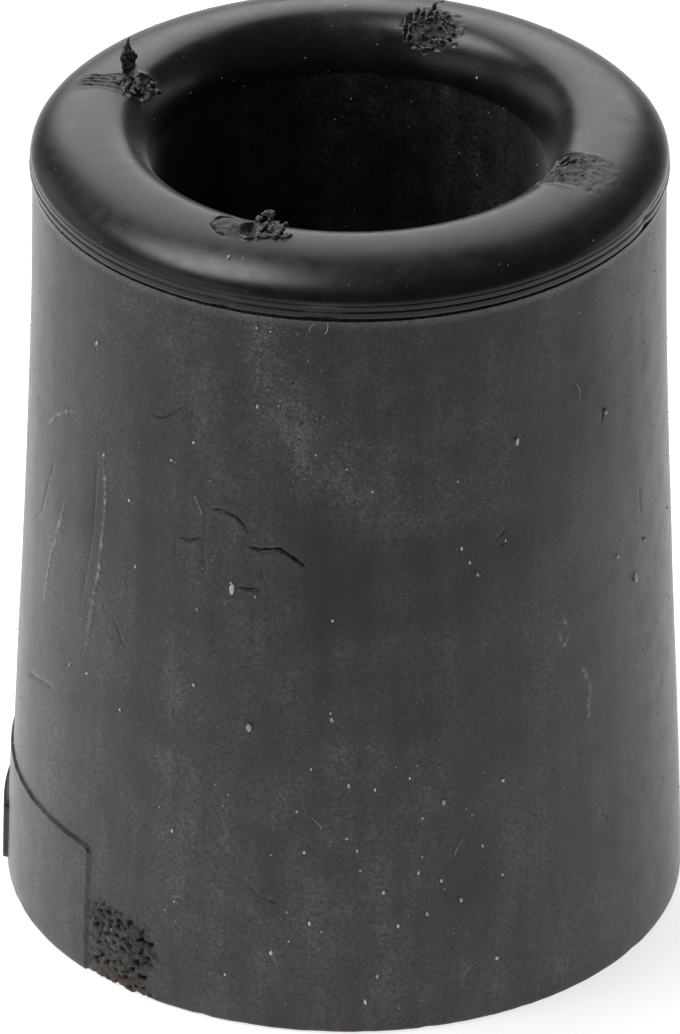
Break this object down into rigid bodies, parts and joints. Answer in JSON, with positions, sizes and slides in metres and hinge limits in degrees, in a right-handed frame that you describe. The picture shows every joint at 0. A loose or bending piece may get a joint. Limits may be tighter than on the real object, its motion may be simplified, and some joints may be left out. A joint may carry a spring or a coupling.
{
  "type": "door buffer",
  "caption": "Flared round rubber door buffer with a rolled lip, a deep blind bore and a screw hole through its floor.",
  "frame": {"origin": "centre of the flat base face, on the moulding's axis", "axes": "+Z along the moulding's axis, from the base to the lip; the raised panel beside the base is centred near -X"},
  "size_m": [0.0405, 0.04, 0.05],
  "materials": {
    "black_rubber": "semi-matt moulded rubber, slightly dusty, glossier on the rolled lip"
  },
  "bodies": {
    "root": {"buffer_body": "black_rubber"}
  },
  "joints": []
}
